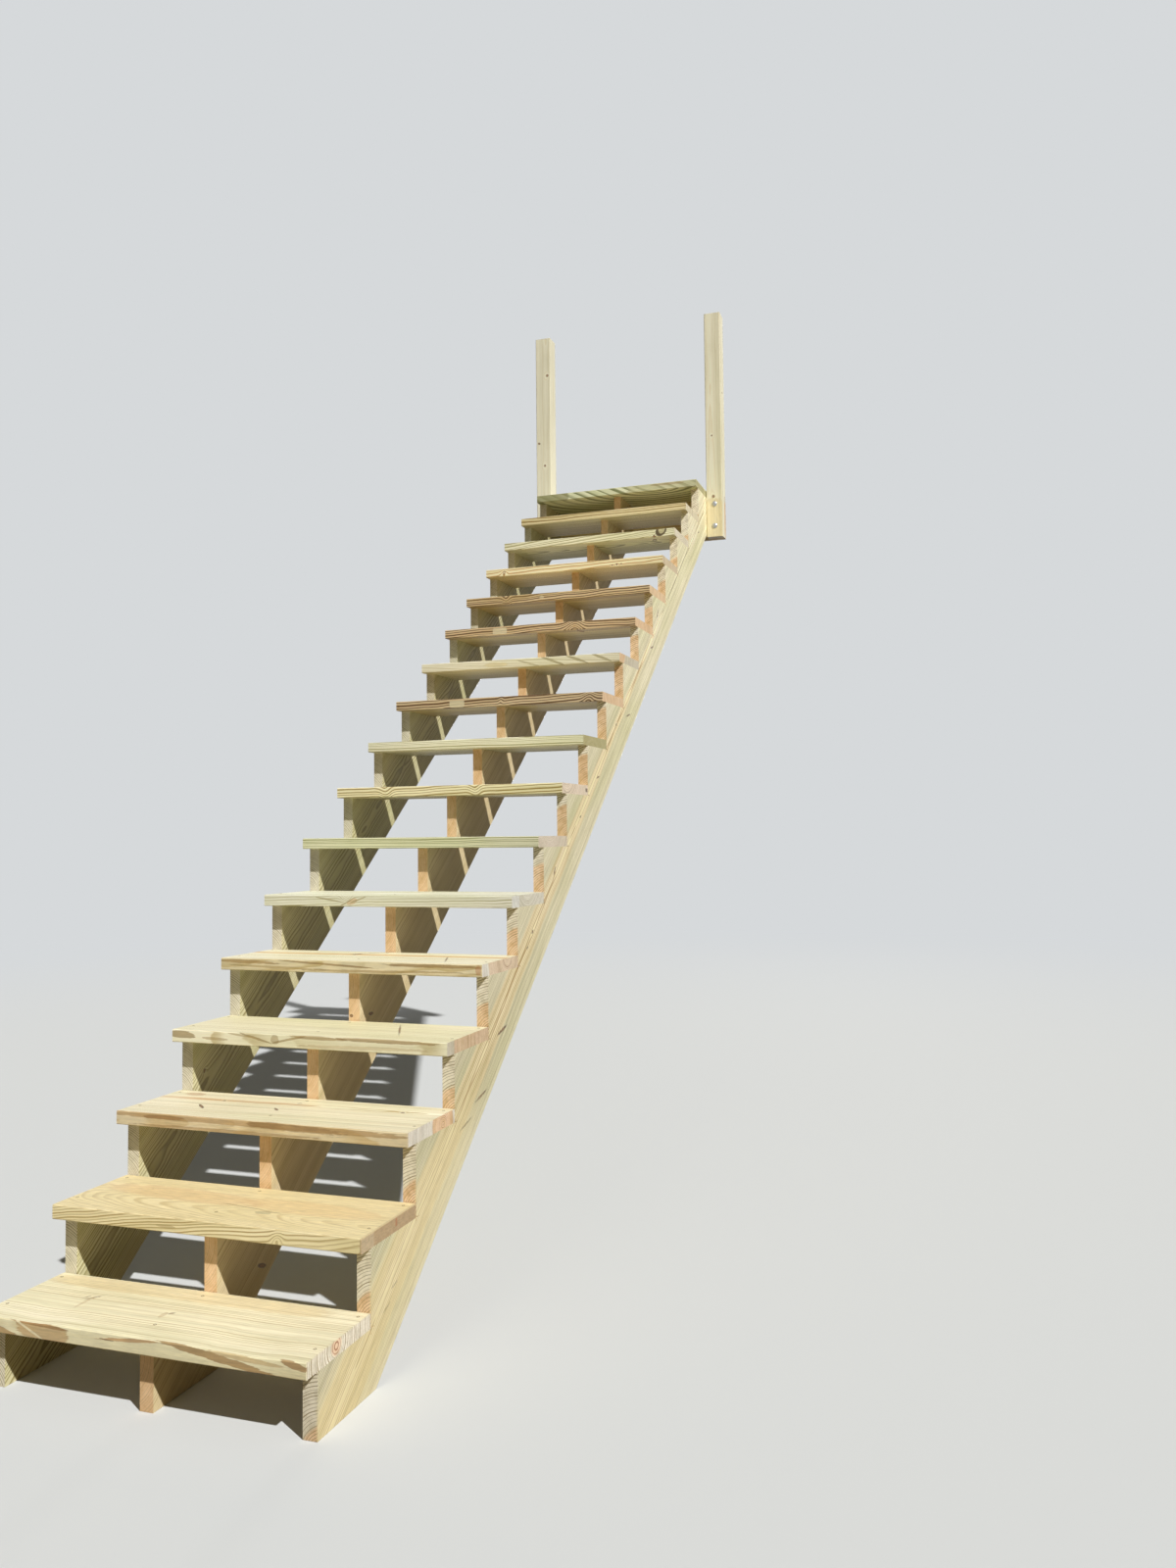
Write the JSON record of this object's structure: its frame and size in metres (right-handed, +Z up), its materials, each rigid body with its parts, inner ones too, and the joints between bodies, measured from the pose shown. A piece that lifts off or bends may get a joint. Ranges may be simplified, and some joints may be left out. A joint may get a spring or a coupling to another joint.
{
  "type": "deck stairs",
  "caption": "Straight flight of open-riser wooden deck stairs on notched stringers, with the header board and newel posts at its head.",
  "frame": {"origin": "middle of the header's back face, the face that is fastened to the deck", "axes": "+Z up, +Y from the foot towards the deck, +X to the right when climbing"},
  "size_m": [1.096, 4.166, 4.2385],
  "materials": {
    "stringer_pine": "sawn and planed pressure-treated pine, unpainted, pale yellow with tan heartwood",
    "tread_pine": "planed pressure-treated pine, unpainted, pale yellow with brown grain",
    "header_pine": "planed pressure-treated pine, unpainted, warm yellow",
    "newel_pine": "planed pressure-treated pine, unpainted, pale with a green cast"
  },
  "bodies": {
    "root": {"stringer_left": "stringer_pine", "stringer_center": "stringer_pine", "stringer_right": "stringer_pine", "tread_01": "tread_pine", "tread_02": "tread_pine", "tread_03": "tread_pine", "tread_04": "tread_pine", "tread_05": "tread_pine", "tread_06": "tread_pine", "tread_07": "tread_pine", "tread_08": "tread_pine", "tread_09": "tread_pine", "tread_10": "tread_pine", "tread_11": "tread_pine", "tread_12": "tread_pine", "tread_13": "tread_pine", "tread_14": "tread_pine", "tread_15": "tread_pine", "tread_16": "tread_pine", "tread_17": "tread_pine", "header": "header_pine", "newel_left": "newel_pine", "newel_right": "newel_pine"}
  },
  "joints": []
}
